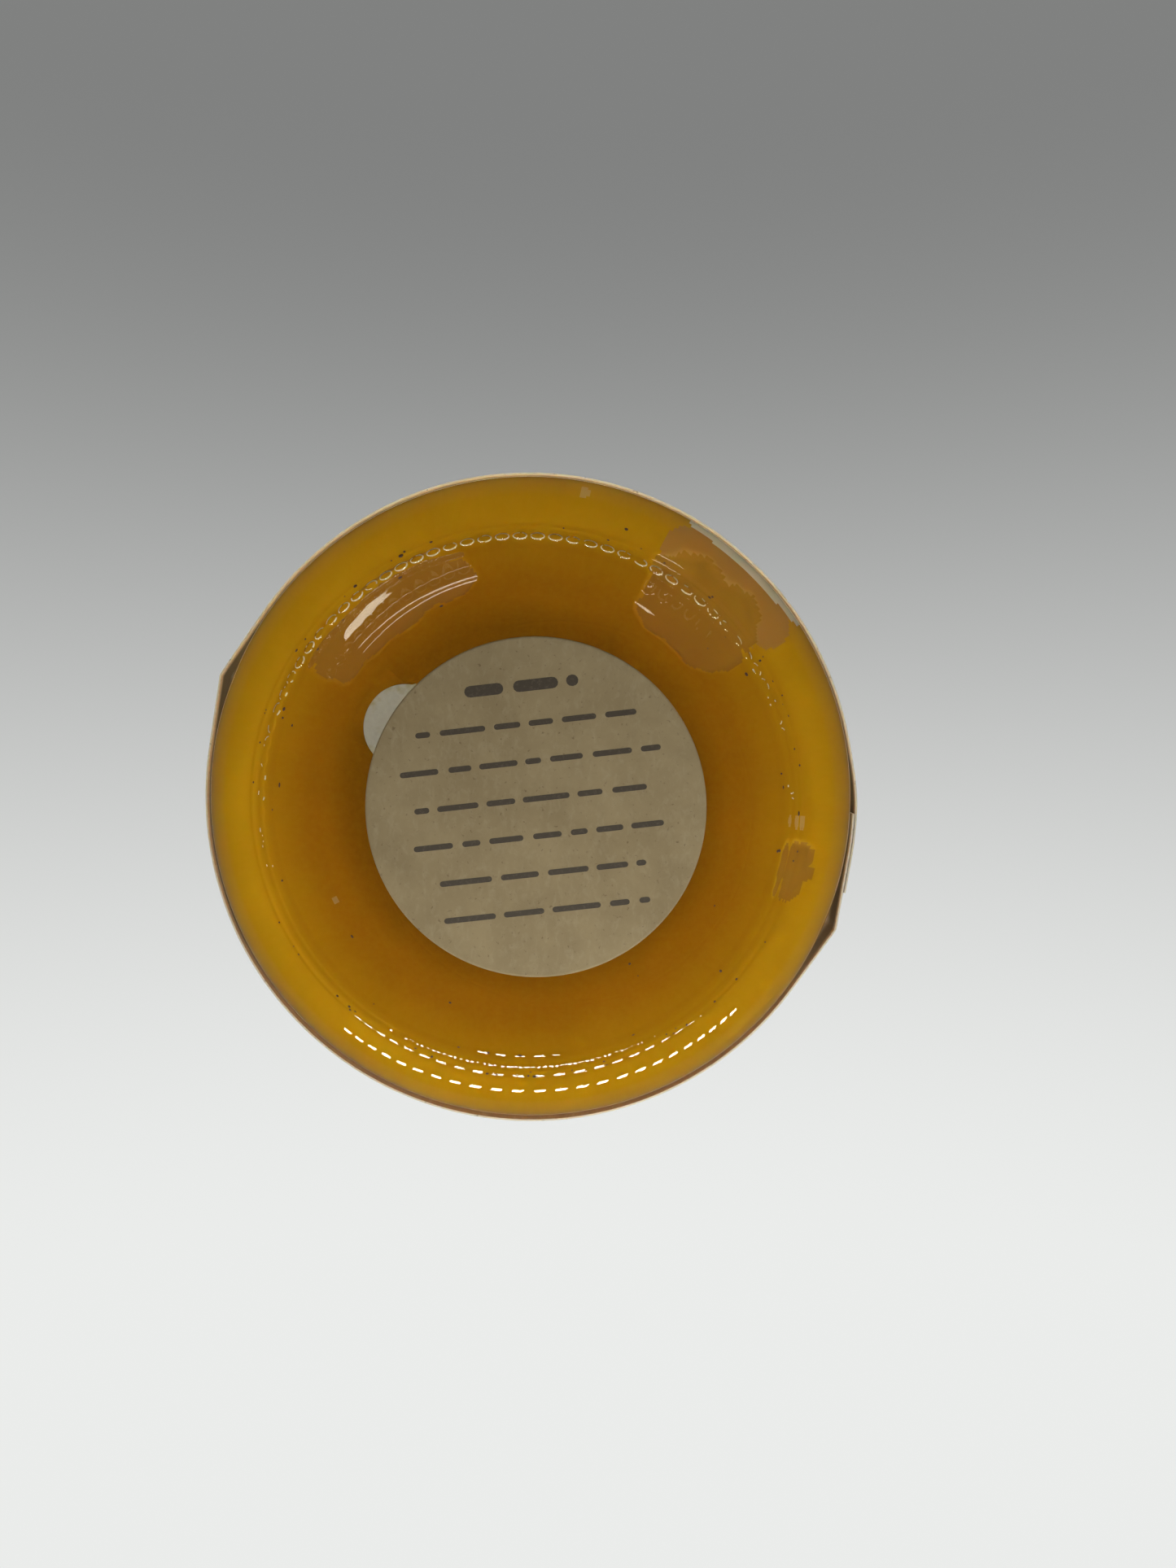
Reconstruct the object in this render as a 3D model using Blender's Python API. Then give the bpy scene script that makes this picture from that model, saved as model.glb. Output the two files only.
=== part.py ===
"""Spent two-wick candle jar: a clear glass tumbler with a last layer of amber wax.

Metres, +Z up. The origin is the centre of the base, on the plane that the jar stands on.
Angles about +Z are in degrees, counted from +X towards +Y.

Pieces: the glass jar, its round base label, the paper band round the wall, the wax, and for
each of the two wicks an adhesive disc, a metal tab and the wick itself. The wax lifts out
along +Z and the band slides off along +Z, so each of them hangs from an empty on that axis.
"""
import math

import bmesh
import bpy
from mathutils import Vector

MM = 0.001

# Driving dimensions
JAR_RADIUS = 49.0 * MM
JAR_HEIGHT = 100.0 * MM
WALL = 3.2 * MM
FLOOR_TOP = 9.0 * MM                # inside floor above the standing plane
CLEARANCE = 0.3 * MM                # kept between pieces that touch on the real jar

# Base: a raised centre (punt), a flat bearing ring, a round heel
PUNT_HEIGHT = 3.0 * MM
PUNT_FLAT_RADIUS = 27.5 * MM
RING_INNER_RADIUS = 38.0 * MM
RING_OUTER_RADIUS = 39.8 * MM
HEEL_RADIUS = JAR_RADIUS - RING_OUTER_RADIUS
RIM_ROUND = 0.9 * MM
INNER_RADIUS = JAR_RADIUS - WALL
INNER_FILLET = 5.0 * MM

# Base label, stuck a little off centre in the punt
LABEL_RADIUS = 25.4 * MM
LABEL_THICKNESS = 0.3 * MM
LABEL_OFFSET = (1.3 * MM, 0.8 * MM)

# Paper band: a sleeve that was once folded flat, so it has two opposite creases
BAND_BOTTOM = 9.0 * MM
BAND_HEIGHT = 63.0 * MM
BAND_THICKNESS = 0.35 * MM
BAND_SLACK = 0.75 * MM
BAND_OFFSET = (-0.25 * MM, 0.35 * MM)  # the loose sleeve sits a little to one side
BAND_CREASE_ANGLE = 22.5            # the other crease is half a turn on
BAND_CREASE_REACH = 13.0            # the paper runs straight this far either side of a crease
BAND_STATIONS = 144                 # every 2.5 degrees, so one falls on each crease

# Wax left in the bottom, with a low rim where it wets the wall
WAX_DEPTH = 12.7 * MM
WAX_TOP = FLOOR_TOP + WAX_DEPTH
MENISCUS_HEIGHT = 0.7 * MM
MENISCUS_WIDTH = 1.8 * MM

# Wick stacks: adhesive disc, tab with a crimped neck, wick
WICKS = {"left": (21.8 * MM, 211.0), "right": (19.0 * MM, 31.0)}   # distance from the axis, angle
STICKER_RADIUS = 6.5 * MM
STICKER_THICKNESS = 1.0 * MM
TAB_RADIUS = 6.3 * MM
TAB_THICKNESS = 0.5 * MM
TAB_NECK_HEIGHT = 9.5 * MM
TAB_NECK_WALL = 0.45 * MM
WICK_RADIUS = 1.1 * MM
WICK_ABOVE_WAX = 6.5 * MM
WICK_TIP_RADIUS = 0.75 * MM
WICK_TIP_LENGTH = 1.2 * MM

TURN_SEGMENTS = 72
SMALL_SEGMENTS = 24
SHARP_ANGLE = math.radians(35)


def clear_scene():
    for obj in list(bpy.data.objects):
        bpy.data.objects.remove(obj, do_unlink=True)


def make_material(name, colour, roughness, metallic=0.0, transmission=0.0):
    material = bpy.data.materials.new(name)
    material.use_nodes = True
    shader = material.node_tree.nodes["Principled BSDF"]
    shader.inputs["Base Color"].default_value = (*colour, 1.0)
    shader.inputs["Roughness"].default_value = roughness
    shader.inputs["Metallic"].default_value = metallic
    shader.inputs["Transmission Weight"].default_value = transmission
    return material


def make_empty(name):
    empty = bpy.data.objects.new(name, None)
    empty.empty_display_size = 0.01
    bpy.context.collection.objects.link(empty)
    return empty


def make_object(name, mesh_builder, material, parent, location=(0.0, 0.0, 0.0)):
    """Turn a bmesh into a smooth-shaded, named object under its body's empty."""
    bmesh.ops.recalc_face_normals(mesh_builder, faces=mesh_builder.faces)
    mesh = bpy.data.meshes.new(name)
    mesh_builder.to_mesh(mesh)
    mesh_builder.free()
    mesh.shade_smooth()
    mesh.set_sharp_from_angle(angle=SHARP_ANGLE)
    obj = bpy.data.objects.new(name, mesh)
    bpy.context.collection.objects.link(obj)
    obj.location = location
    obj.parent = parent
    if material:
        mesh.materials.append(material)
    return obj


def arc(centre_r, centre_z, radius, start, end, steps):
    """Points of an arc in the (r, z) half plane, angles in degrees from +r towards +z."""
    angles = [math.radians(start + (end - start) * i / steps) for i in range(steps + 1)]
    return [(centre_r + radius * math.cos(a), centre_z + radius * math.sin(a)) for a in angles]


def turned(profile, segments, closed=False):
    """Spin an (r, z) outline about Z. An open outline starts and ends on the axis (r = 0)."""
    bm = bmesh.new()
    rings = []
    for r, z in profile:
        if r == 0.0:
            rings.append([bm.verts.new((0.0, 0.0, z))] * segments)
            continue
        angles = [math.tau * i / segments for i in range(segments)]
        rings.append([bm.verts.new((r * math.cos(a), r * math.sin(a), z)) for a in angles])
    pairs = list(zip(rings, rings[1:]))
    if closed:
        pairs.append((rings[-1], rings[0]))
    for lower, upper in pairs:
        for i in range(segments):
            j = (i + 1) % segments
            corners = [lower[i], lower[j], upper[j], upper[i]]
            bm.faces.new(dict.fromkeys(corners))
    return bm


def punt_curve(steps):
    """The S-shaped slope from the raised centre down to the bearing ring."""
    points = []
    for i in range(steps + 1):
        t = i / steps
        r = PUNT_FLAT_RADIUS + (RING_INNER_RADIUS - PUNT_FLAT_RADIUS) * t
        points.append((r, PUNT_HEIGHT * 0.5 * (1.0 + math.cos(math.pi * t))))
    return points


def glass_jar(material, parent):
    rim_z = JAR_HEIGHT - RIM_ROUND
    profile = [(0.0, PUNT_HEIGHT)]
    profile += punt_curve(6)
    profile += arc(RING_OUTER_RADIUS, HEEL_RADIUS, HEEL_RADIUS, -90, 0, 7)
    profile += arc(JAR_RADIUS - RIM_ROUND, rim_z, RIM_ROUND, 0, 90, 3)
    profile += arc(INNER_RADIUS + RIM_ROUND, rim_z, RIM_ROUND, 90, 180, 3)
    profile += arc(INNER_RADIUS - INNER_FILLET, FLOOR_TOP + INNER_FILLET, INNER_FILLET, 0, -90, 7)
    profile += [(0.0, FLOOR_TOP)]
    return make_object("glass_jar", turned(profile, TURN_SEGMENTS), material, parent)


def disc(name, radius, bottom, thickness, segments, material, parent, location):
    profile = [(0.0, bottom), (radius, bottom), (radius, bottom + thickness), (0.0, bottom + thickness)]
    return make_object(name, turned(profile, segments), material, parent, location)


def base_label(material, parent):
    bottom = PUNT_HEIGHT - CLEARANCE - LABEL_THICKNESS
    return disc("base_label", LABEL_RADIUS, bottom, LABEL_THICKNESS, TURN_SEGMENTS,
                material, parent, (*LABEL_OFFSET, 0.0))


def band_inner_radius(angle):
    """Radius of the sleeve's inner face; near a crease the paper runs straight, on a tangent."""
    to_crease = abs((angle - BAND_CREASE_ANGLE + 90.0) % 180.0 - 90.0)
    straight = max(0.0, BAND_CREASE_REACH - to_crease)
    return (JAR_RADIUS + BAND_SLACK) / math.cos(math.radians(straight))


def kraft_band(material, parent):
    bm = bmesh.new()
    top = BAND_BOTTOM + BAND_HEIGHT
    stations = []
    for i in range(BAND_STATIONS):
        degrees = 360.0 * i / BAND_STATIONS
        inner = band_inner_radius(degrees)
        outer = inner + BAND_THICKNESS
        outline = [(inner, BAND_BOTTOM), (outer, BAND_BOTTOM), (outer, top), (inner, top)]
        direction = Vector((math.cos(math.radians(degrees)), math.sin(math.radians(degrees)), 0.0))
        stations.append([bm.verts.new(direction * r + Vector((0.0, 0.0, z))) for r, z in outline])
    for here, ahead in zip(stations, stations[1:] + stations[:1]):
        for k in range(4):
            m = (k + 1) % 4
            bm.faces.new((here[k], here[m], ahead[m], ahead[k]))
    return make_object("kraft_band", bm, material, parent, (*BAND_OFFSET, 0.0))


def wick_levels():
    """Heights in one wick stack, from the floor of the jar up."""
    levels = {"sticker": FLOOR_TOP + CLEARANCE}
    levels["tab"] = levels["sticker"] + STICKER_THICKNESS + CLEARANCE
    levels["disc_top"] = levels["tab"] + TAB_THICKNESS
    levels["neck_top"] = levels["tab"] + TAB_NECK_HEIGHT
    levels["tip"] = WAX_TOP + WICK_ABOVE_WAX
    return levels


def wick_tab(name, levels, material, parent, location):
    """A stamped disc with a tube at its centre, open right through for the wick."""
    bore = WICK_RADIUS + CLEARANCE
    neck = bore + TAB_NECK_WALL
    profile = [(bore, levels["tab"]), (TAB_RADIUS, levels["tab"]), (TAB_RADIUS, levels["disc_top"]),
               (neck, levels["disc_top"]), (neck, levels["neck_top"]), (bore, levels["neck_top"])]
    return make_object(name, turned(profile, SMALL_SEGMENTS, closed=True), material, parent, location)


def wick(name, levels, material, parent, location):
    """Round wick, burnt to a taper at the tip."""
    profile = [(0.0, levels["tab"]), (WICK_RADIUS, levels["tab"]),
               (WICK_RADIUS, levels["tip"] - WICK_TIP_LENGTH),
               (WICK_TIP_RADIUS, levels["tip"]), (0.0, levels["tip"])]
    return make_object(name, turned(profile, SMALL_SEGMENTS), material, parent, location)


def wax_cutter(name, levels, location):
    """Stepped hole round one wick stack. It never narrows upwards past what it must clear."""
    pocket = STICKER_RADIUS + CLEARANCE
    neck = WICK_RADIUS + CLEARANCE + TAB_NECK_WALL + CLEARANCE
    wick_hole = WICK_RADIUS + CLEARANCE
    pocket_top = levels["disc_top"] + CLEARANCE
    neck_top = levels["neck_top"] + CLEARANCE
    below = FLOOR_TOP - CLEARANCE
    above = WAX_TOP + MENISCUS_HEIGHT + CLEARANCE
    profile = [(0.0, below), (pocket, below), (pocket, pocket_top), (neck, pocket_top),
               (neck, neck_top), (wick_hole, neck_top), (wick_hole, above), (0.0, above)]
    cutter = make_object(name, turned(profile, SMALL_SEGMENTS), None, None, location)
    cutter.hide_render = True
    cutter.display_type = "WIRE"
    return cutter


def wax_residue(material, parent, levels, places):
    """The last of the wax, with the inside of the jar as its mould."""
    radius = INNER_RADIUS - CLEARANCE
    fillet = INNER_FILLET - CLEARANCE
    bottom = FLOOR_TOP + CLEARANCE
    profile = [(0.0, bottom)]
    profile += arc(radius - fillet, bottom + fillet, fillet, -90, 0, 7)
    profile += [(radius, WAX_TOP + MENISCUS_HEIGHT),
                (radius - MENISCUS_WIDTH / 3, WAX_TOP + MENISCUS_HEIGHT / 3),
                (radius - MENISCUS_WIDTH, WAX_TOP),
                (0.0, WAX_TOP)]
    wax = make_object("wax_residue", turned(profile, TURN_SEGMENTS), material, parent)
    for side, place in places.items():
        hole = wax.modifiers.new(f"hole_{side}", "BOOLEAN")
        hole.operation = "DIFFERENCE"
        hole.solver = "EXACT"
        hole.object = wax_cutter(f"wax_cutter_{side}", levels, place)
    return wax


def build():
    clear_scene()
    glass = make_material("clear_glass", (0.95, 0.97, 0.94), 0.03, transmission=1.0)
    wax = make_material("amber_wax", (0.48, 0.24, 0.03), 0.4)
    label_paper = make_material("label_paper", (0.36, 0.30, 0.20), 0.8)
    band_paper = make_material("band_paper", (0.50, 0.36, 0.19), 0.85)
    foam = make_material("sticker_foam", (0.85, 0.86, 0.86), 0.7)
    tin = make_material("tinned_steel", (0.62, 0.62, 0.60), 0.3, metallic=1.0)
    cotton = make_material("cotton_wick", (0.30, 0.22, 0.13), 0.9)

    jar_body = make_empty("jar_body")
    wax_body = make_empty("wax_body")
    band_body = make_empty("band_body")
    levels = wick_levels()
    places = {}
    for side, (distance, degrees) in WICKS.items():
        angle = math.radians(degrees)
        places[side] = (distance * math.cos(angle), distance * math.sin(angle), 0.0)

    glass_jar(glass, jar_body)
    base_label(label_paper, jar_body)
    for side, place in places.items():
        disc(f"wick_sticker_{side}", STICKER_RADIUS, levels["sticker"], STICKER_THICKNESS,
             SMALL_SEGMENTS, foam, jar_body, place)
        wick_tab(f"wick_tab_{side}", levels, tin, jar_body, place)
        wick(f"wick_{side}", levels, cotton, jar_body, place)
    wax_residue(wax, wax_body, levels, places)
    kraft_band(band_paper, band_body)


build()
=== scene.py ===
"""Spent two-wick candle jar that stands on its mouth in a light box, base to the camera.

Metres, +Z up in the jar's own frame. The main camera looks up at the base, so on its image
right is +X and down is +Y. Angles about +Z are in degrees from +X towards +Y.
"""
import math

import bmesh
import bpy
import numpy as np
from mathutils import Matrix, Vector, noise


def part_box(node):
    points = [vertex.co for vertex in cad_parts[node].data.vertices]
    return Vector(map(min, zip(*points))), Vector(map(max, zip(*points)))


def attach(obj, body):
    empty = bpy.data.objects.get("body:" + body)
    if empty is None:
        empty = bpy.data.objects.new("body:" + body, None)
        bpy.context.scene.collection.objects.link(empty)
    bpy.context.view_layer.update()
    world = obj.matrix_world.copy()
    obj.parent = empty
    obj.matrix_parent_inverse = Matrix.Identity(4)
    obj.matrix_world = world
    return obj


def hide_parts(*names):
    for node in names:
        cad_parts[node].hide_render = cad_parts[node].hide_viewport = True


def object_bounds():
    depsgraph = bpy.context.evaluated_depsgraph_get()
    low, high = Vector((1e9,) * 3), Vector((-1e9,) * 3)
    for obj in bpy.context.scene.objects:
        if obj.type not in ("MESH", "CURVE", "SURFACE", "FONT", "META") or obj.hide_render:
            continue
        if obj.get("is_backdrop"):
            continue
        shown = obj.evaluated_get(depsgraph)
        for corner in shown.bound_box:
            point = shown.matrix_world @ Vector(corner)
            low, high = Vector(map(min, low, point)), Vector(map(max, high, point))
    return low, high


MM = 0.001
SEED = 7

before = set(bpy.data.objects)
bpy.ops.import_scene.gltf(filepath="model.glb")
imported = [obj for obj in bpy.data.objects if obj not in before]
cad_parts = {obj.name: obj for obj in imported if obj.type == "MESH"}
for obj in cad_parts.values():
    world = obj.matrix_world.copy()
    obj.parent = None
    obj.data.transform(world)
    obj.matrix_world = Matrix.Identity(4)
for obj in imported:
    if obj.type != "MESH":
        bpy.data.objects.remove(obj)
cad_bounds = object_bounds()

# ---------------------------------------------------------------- sizes, from the CAD frame
_, glass_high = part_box("glass_jar")
JAR_RADIUS = glass_high.x
JAR_HEIGHT = glass_high.z
wax_low, wax_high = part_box("wax_residue")
FIT_GAP = 0.3 * MM                      # what the CAD keeps between touching pieces
INNER_RADIUS = wax_high.x + FIT_GAP
FLOOR_TOP = wax_low.z - FIT_GAP
label_low, label_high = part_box("base_label")
LABEL_CENTRE = (label_low + label_high) / 2
LABEL_RADIUS = (label_high.x - label_low.x) / 2
PUNT_HEIGHT = label_high.z + FIT_GAP
band_low, band_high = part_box("kraft_band")
BAND_CENTRE = (band_low + band_high) / 2

# Base of the jar
PUNT_FLAT_RADIUS = 27.5 * MM
RING_INNER_RADIUS = 38.0 * MM
RING_OUTER_RADIUS = 39.8 * MM
HEEL_RADIUS = JAR_RADIUS - RING_OUTER_RADIUS
INNER_FILLET = 5.0 * MM
RIM_ROUND = 0.9 * MM
PUNT_WAVE = 0.05 * MM                   # faint waves in the punt, and where they die out
PUNT_WAVE_LENGTH = 9 * MM
PUNT_WAVE_FADE = (34 * MM, 37.5 * MM)
LAND_START = (36.8 * MM, 38.1 * MM)     # the land round the knurls rises here
LAND_END = (40.6 * MM, 43.5 * MM)       # and runs out into the heel here
PLAIN_HEEL_RADIUS = 41.4 * MM           # outside the fine rings over the knurls
WALL_SWELL = 0.06 * MM                  # slow swell of the pressed wall, and the heights it spans
WALL_SWELL_LENGTH = 22 * MM
WALL_SWELL_LOW = (12 * MM, 22 * MM)
WALL_SWELL_HIGH = (90 * MM, 98 * MM)

# Knurls on the bearing ring
KNURLS = 95
KNURL_STEPS = 8                         # mesh segments in one pitch
KNURL_CENTRE_RADIUS = 38.9 * MM
KNURL_HALF_LENGTH = 1.15 * MM
KNURL_HALF_WIDTH = 0.52 * MM
KNURL_HEIGHT = 0.30 * MM
MARK_REACH = 0.85                       # the painted highlight line round a knurl, as a share of its size
MARK_WIDTH = 0.16 * MM
MARK_DEPTH = 0.02 * MM
MARK_STEPS = 20                         # segments in one line
MARK_PATCH = 1.1 * MM                   # size of the gaps where the line is broken up
MARK_PATCHINESS = 1.3
MARK_LEAST = 0.55                       # less than this and the line is missing
KNURL_BRIGHT_SIDE = 263.0                      # the knurls stand tallest on this side and are worn lower elsewhere; here their painted highlight lines are whole
# Two fine beads round the bearing ring
BEAD_RADII = (38.95 * MM, 40.3 * MM)
BEAD_HEIGHT = 0.105 * MM
BEAD_WIDTH = 0.28 * MM

# Mould mark on the underside
BAFFLE_RADIUS = 28.5 * MM
BAFFLE_OFFSET = 5.0 * MM
BAFFLE_ANGLE = 20.0
BAFFLE_RIDGE = 0.08 * MM
BAFFLE_RIDGE_WIDTH = 0.17 * MM
SCRATCH = {"angle": 195.0, "start": 30.5 * MM, "end": 39.5 * MM, "depth": 0.06 * MM,
           "width": 0.14 * MM}

# Wax
COUPLED = 0.05 * MM                     # how far wax that wets the glass is pressed into it
GAP = 0.22 * MM                         # air gap where it has let go
MENISCUS = 0.7 * MM
MENISCUS_SPAN = (42.6 * MM, 45.8 * MM)
WAX_TOP = wax_high.z - MENISCUS
TOP_RIPPLE = 0.12 * MM
TOP_RIPPLE_LENGTH = 14 * MM
TOP_RIPPLE_FADE = (42 * MM, 45 * MM)
WAX_COLUMNS = 600
WAX_TOP_RADII = (45.3, 44.7, 43.9, 43.0, 41.5, 39, 35, 30, 24.5, 18, 12, 6, 1)   # mesh rings, in mm
SPOT_SQUARENESS = 2.6                   # 2 would make the spots elliptical
SPOT_EDGE = (0.92, 1.02)                # the edge, as a share of a spot's half size
# Places where the wax has let go of the glass: centre angle, half angle, and the stretch of the
# mould profile, as arc length out from where the inner corner starts, with a ragged edge
WET_SPOTS = [
    {"angle": 312.0, "half": 15.0, "start": -8.4 * MM, "end": 3.2 * MM, "ragged": 0.22},
    {"angle": 233.0, "half": 22.0, "start": -8.0 * MM, "end": -1.4 * MM, "ragged": 0.28},
    {"angle": 14.5, "half": 7.0, "start": -1.6 * MM, "end": 2.3 * MM, "ragged": 0.40},
]
# Small bubbles, shown only as paler wax: a painted sheen in place of their reflection
HAZY_SPOTS = [
    {"angle": 4.0, "half": 1.7, "start": -1.0 * MM, "end": 0.8 * MM, "ragged": 0.10},
    {"angle": 280.0, "half": 0.9, "start": 3.6 * MM, "end": 4.7 * MM, "ragged": 0.10},
    {"angle": 152.5, "half": 1.0, "start": -7.2 * MM, "end": -6.0 * MM, "ragged": 0.10},
]
# Beyond the first spot the wax still touches the corner, but is painted paler there, a painted
# reflection in place of an air gap's, up to a silvery edge that is a painted glint
PALE_SPOT = {"angle": 312.5, "half": 15.5, "start": -1.0 * MM, "end": 5.8 * MM, "ragged": 0.06}
SILVER_SPOT = {"angle": 313.0, "half": 14.0, "start": 4.55 * MM, "end": 5.9 * MM, "ragged": 0.08}

# Band
CREASE_ANGLE = 22.5
CREASE_REACH = 13.0
BAND_THICKNESS = 0.35 * MM
BAND_SLACK = 0.75 * MM
BAND_SHADE_LOW = (9.2 * MM, 10.6 * MM)  # the paper's inner face is painted darker over this height, a painted shade in the gap
BAND_SHADE_HIGH = (13.0 * MM, 18.0 * MM)  # and the painted shade fades again further up
BAND_LIT_SIDE = (15 * MM, 38 * MM)      # the painted shade fades between these y, where the lamps shine in
SHEET_THICKNESS = 0.8 * BAND_THICKNESS
SEAM_ANGLE = 16.0                       # where the outer end of the strip is glued down
SEAM_OVERLAP = 14.0
SEAM_CLIMB = (348.0, 359.0)             # degrees round, where the outer end climbs onto the inner
SEAM_GAP = 0.03 * MM
BAND_COLUMNS = 560
BAND_ROWS = 26

# Label, and the rows of dashes on it in millimetres
LABEL_THICKNESS = 0.26 * MM
LABEL_FACE = PUNT_HEIGHT - 0.06 * MM - LABEL_THICKNESS
LABEL_EDGE_ROUND = 0.07 * MM
LABEL_RINGS = (0.5, 5, 10, 15, 19, 22, 24, 25.0, 25.3)
LABEL_COLUMNS = 180
PRINT_TILT = -6.4
HEADING = (-18.2, 1.7, 17.0)            # y, height and width
FIRST_ROW = -12.6
ROW_PITCH = 5.6
ROW_HEIGHT = 0.85
ROW_WIDTHS = (33, 39, 36, 37.5, 31, 31)
DASH_LENGTHS = (2.2, 8.0)
DASH_GAPS = (1.1, 1.5)
INK_OUT = 0.03                          # how far a dash stands out of the paper and into it
INK_IN = 0.01

# Wick stacks, in millimetres
FOAM_PROFILE = ((0.2, 0), (6.3, 0), (6.45, 0.05), (6.5, 0.2), (6.5, 1.1), (6.4, 1.28), (0.2, 1.3))
TAB_DISC_TOP = 0.8
TAB_CRIMPS = ((4.2, 1.3), (7.6, 0.9))   # height and spread of each crimp on the neck
WICK_RADIUS = 1.02
BRAID_PITCH = 1.15 * MM
NECK_BORE = 1.98                        # radii of the holes in the wax
WICK_BORE = 1.24

# Specks, in millimetres: most lie just outside the ring, fewer just inside it, a few anywhere
SPECKS = 85
SPECKS_OUTSIDE = (39.9, 40.7)
SPECKS_INSIDE = (37.2, 37.9)
SHARE_OUTSIDE = 0.75
STRAYS = (28, 46)
SHARE_STRAY = 0.12
SPECK_SIZES = (0.10, 0.25)


def smoothstep(low, high, value):
    t = min(1.0, max(0.0, (value - low) / (high - low)))
    return t * t * (3.0 - 2.0 * t)


def polar(angle, radius, z=0.0):
    a = math.radians(angle)
    return Vector((radius * math.cos(a), radius * math.sin(a), z))


def angle_between(a, b):
    """Signed difference a - b in degrees, from -180 to 180."""
    return (a - b + 180.0) % 360.0 - 180.0


def arc(centre_r, centre_z, radius, start, end, steps):
    angles = [math.radians(start + (end - start) * i / steps) for i in range(steps + 1)]
    return [(centre_r + radius * math.cos(a), centre_z + radius * math.sin(a)) for a in angles]


# ---------------------------------------------------------------- meshes
def new_object(name, verts, faces, materials, sharp=None):
    mesh = bpy.data.meshes.new(name)
    mesh.from_pydata([tuple(v) for v in verts], [], faces)
    bm = bmesh.new()
    bm.from_mesh(mesh)
    bmesh.ops.recalc_face_normals(bm, faces=bm.faces)
    bm.to_mesh(mesh)
    bm.free()
    mesh.shade_smooth()
    if sharp is not None:
        mesh.set_sharp_from_angle(angle=math.radians(sharp))
    for material in materials:
        mesh.materials.append(material)
    obj = bpy.data.objects.new(name, mesh)
    bpy.context.collection.objects.link(obj)
    return obj


def object_from_bmesh(name, bm, material):
    mesh = bpy.data.meshes.new(name)
    bm.to_mesh(mesh)
    bm.free()
    mesh.materials.append(material)
    obj = bpy.data.objects.new(name, mesh)
    bpy.context.collection.objects.link(obj)
    return obj


def ring_faces(rows, columns, closed=False):
    """Quads between rings of vertices, each ring with the same number of columns."""
    faces = []
    pairs = rows if closed else rows - 1
    for k in range(pairs):
        here = k * columns
        above = ((k + 1) % rows) * columns
        for i in range(columns):
            j = (i + 1) % columns
            faces.append((here + i, here + j, above + j, above + i))
    return faces


def capped_rings(rings):
    """Vertices and faces of a closed body from rings; the first and last shrink to a point."""
    columns = len(rings[0])
    verts = [v for ring in rings for v in ring]
    faces = ring_faces(len(rings), columns)
    start = sum(rings[0], Vector()) / columns
    end = sum(rings[-1], Vector()) / columns
    verts += [start, end]
    low, high = len(verts) - 2, len(verts) - 1
    last = (len(rings) - 1) * columns
    for i in range(columns):
        j = (i + 1) % columns
        faces.append((low, j, i))
        faces.append((high, last + i, last + j))
    return verts, faces


# ---------------------------------------------------------------- glass
def knurl_height(angle, radius):
    """How far a knurl stands down at this place, from 0 to 1."""
    pitch = 360.0 / KNURLS
    along = ((angle + pitch / 2) % pitch - pitch / 2)
    u = math.radians(along) * KNURL_CENTRE_RADIUS / KNURL_HALF_LENGTH
    v = (radius - KNURL_CENTRE_RADIUS) / KNURL_HALF_WIDTH
    q = u * u + v * v
    worn = 0.12 + 0.88 * smoothstep(-0.2, 0.6, math.cos(math.radians(angle - KNURL_BRIGHT_SIDE)))
    return worn * max(0.0, 1.0 - q * q) ** 0.8 if q < 1.0 else 0.0


def bead_height(angle, radius):
    """How far the beads stand down between the knurls."""
    beads = sum(math.exp(-((radius - middle) / BEAD_WIDTH) ** 2) for middle in BEAD_RADII)
    return BEAD_HEIGHT * beads * (1.0 - knurl_height(angle, radius))


def underside_z(x, y):
    """Height of the glass underside at (x, y), out to the outer edge of the bearing ring."""
    radius = math.hypot(x, y)
    angle = math.degrees(math.atan2(y, x)) % 360.0
    t = min(1.0, max(0.0, (radius - PUNT_FLAT_RADIUS) / (RING_INNER_RADIUS - PUNT_FLAT_RADIUS)))
    z = PUNT_HEIGHT * 0.5 * (1.0 + math.cos(math.pi * t))
    wave = noise.noise(Vector((x, y, 0.3)) / PUNT_WAVE_LENGTH) * PUNT_WAVE
    z += wave * (1.0 - smoothstep(*PUNT_WAVE_FADE, radius))
    z += KNURL_HEIGHT * smoothstep(*LAND_START, radius) * (1.0 - knurl_height(angle, radius))
    z -= bead_height(angle, radius)
    baffle = polar(BAFFLE_ANGLE, BAFFLE_OFFSET)
    off_mark = math.hypot(x - baffle.x, y - baffle.y) - BAFFLE_RADIUS
    z -= BAFFLE_RIDGE * math.exp(-(off_mark / BAFFLE_RIDGE_WIDTH) ** 2)
    if SCRATCH["start"] < radius < SCRATCH["end"]:
        across = math.radians(angle_between(angle, SCRATCH["angle"])) * radius
        z += SCRATCH["depth"] * math.exp(-(across / SCRATCH["width"]) ** 2)
    return z


def underside_rings(columns):
    """Rings that are centred on the mould mark in the middle and on the axis at the edge."""
    baffle = polar(BAFFLE_ANGLE, BAFFLE_OFFSET)
    radii = [r * MM for r in (0.6, 4, 9, 14, 18, 21, 23.5, 25.5, 27)]
    radii += [BAFFLE_RADIUS + d * MM for d in (-0.5, -0.3, -0.2, -0.1, 0.0, 0.1, 0.2, 0.3, 0.5)]
    radii += [r * MM for r in np.arange(29.6, 36.6, 0.7)]
    radii += [r * MM for r in np.arange(36.9, 41.05, 0.14)]
    rings = []
    for radius in radii:
        share = min(1.0, max(0.0, (36.5 * MM - radius) / (7.0 * MM)))
        ring = []
        for i in range(columns):
            angle = 360.0 * i / columns
            p = baffle * share + polar(angle, radius)
            if radius < RING_OUTER_RADIUS:
                p.z = underside_z(p.x, p.y)
            else:
                p.z = heel_z(math.hypot(p.x, p.y), angle)
            ring.append(p)
        rings.append(ring)
    return rings


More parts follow.
